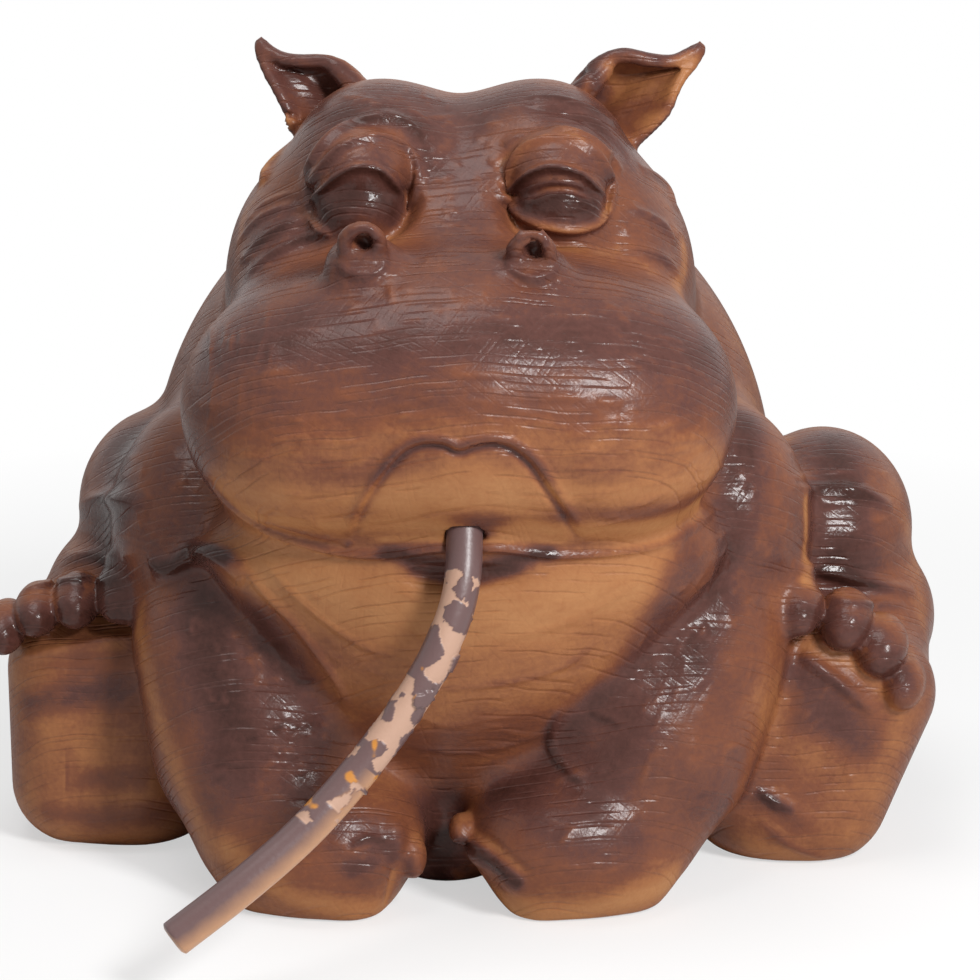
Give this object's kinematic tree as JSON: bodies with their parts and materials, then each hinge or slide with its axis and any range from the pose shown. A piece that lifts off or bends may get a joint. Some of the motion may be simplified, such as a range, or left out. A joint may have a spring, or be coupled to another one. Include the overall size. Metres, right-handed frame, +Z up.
{
  "type": "seated hippopotamus statue",
  "caption": "Seated hippopotamus statue with a broad muzzle, closed heavy-lidded eyes, upturned soles and a bent stalk held in its mouth.",
  "frame": {"origin": "on the flat underside, on the statue's middle plane, under the chest", "axes": "+Z up from the underside, -Y the way the statue faces, +X to the right of someone who looks at its face"},
  "size_m": [0.2203, 0.2065, 0.1831],
  "materials": {
    "painted_resin": "satin brown paint, airbrushed from tan to dark brown",
    "painted_stalk": "flaking mauve-brown paint over pale pink"
  },
  "bodies": {
    "root": {"hippo_body": "painted_resin", "stalk": "painted_stalk"}
  },
  "joints": []
}
